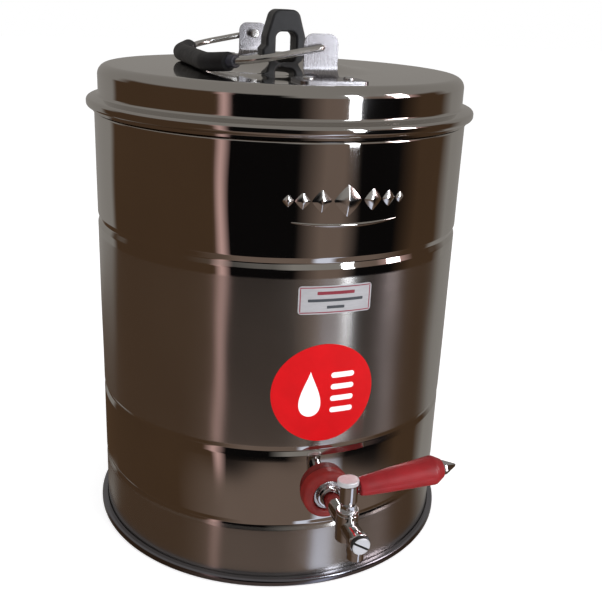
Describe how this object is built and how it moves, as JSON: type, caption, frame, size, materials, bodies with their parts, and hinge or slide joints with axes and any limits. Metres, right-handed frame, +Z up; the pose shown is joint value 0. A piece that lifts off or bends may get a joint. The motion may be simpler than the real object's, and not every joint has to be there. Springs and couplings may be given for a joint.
{
  "type": "insulated beverage container",
  "caption": "Double-wall steel drum for hot or cold drinks, with a lift-off lid, folding bail handle, arch knob and a quarter-turn lever tap near its foot.",
  "frame": {"origin": "centre of the foot ring's underside, on the container's axis", "axes": "+Z up along the container's axis; the tap points along -Y; +X is to the right when facing the tap"},
  "size_m": [0.3744, 0.4594, 0.5185],
  "materials": {
    "polished_steel": "mirror-polished stainless, satin-brushed between the swages",
    "tank_steel": "satin stainless",
    "lid_steel": "mirror-polished stainless",
    "bracket_steel": "pressed stainless sheet",
    "wire_steel": "bright drawn wire",
    "tap_chrome": "chrome-plated brass",
    "screw_steel": "bright plated",
    "red_plastic": "soft-gloss moulded",
    "black_plastic": "semi-gloss moulded",
    "ferrule_grey": "satin",
    "foam": "foamed in place",
    "rubber": "matt",
    "silicone": "translucent white",
    "sticker_red": "glossy printed film",
    "label_film": "printed metallised film"
  },
  "bodies": {
    "container": {"outer_shell": "polished_steel", "base_rim": "polished_steel", "base_pan": "tank_steel", "inner_tank": "tank_steel", "insulation": "foam", "round_sticker": "sticker_red", "info_label": "label_film", "tap_sleeve": "tank_steel", "tap_flange": "red_plastic", "tap_washer": "tap_chrome", "tap_body": "tap_chrome", "tank_washer": "rubber", "lock_nut": "tap_chrome", "front_screw": "tap_chrome", "plug_seal": "rubber", "gland_nut": "tap_chrome"},
    "lid": {"lid_shell": "lid_steel", "lid_liner": "tank_steel", "lid_insulation": "foam", "lid_seal": "silicone", "front_bracket": "bracket_steel", "rear_bracket": "bracket_steel", "bracket_rivets": "screw_steel", "lid_knob": "black_plastic", "knob_screws": "screw_steel"},
    "bail": {"bail_wire": "wire_steel", "bail_grip": "black_plastic", "grip_ferrules": "ferrule_grey"},
    "lever": {"tap_plug": "tap_chrome", "lever_rod": "tap_chrome", "lever_grip": "red_plastic", "lever_tip": "tap_chrome"}
  },
  "joints": [
    {"name": "lid_lift", "type": "slide", "parent": "container", "child": "lid", "axis": [0, 0, 1], "range_m": [0, 0.15]},
    {"name": "bail_swing", "type": "hinge", "parent": "lid", "child": "bail", "pos_m": [0, 0, 0.491], "axis": [0, 1, 0], "range_deg": [0, 202.4]},
    {"name": "lever_turn", "type": "hinge", "parent": "container", "child": "lever", "pos_m": [0, -0.237, 0.1], "axis": [0, 0, -1], "range_deg": [0, 90]}
  ]
}
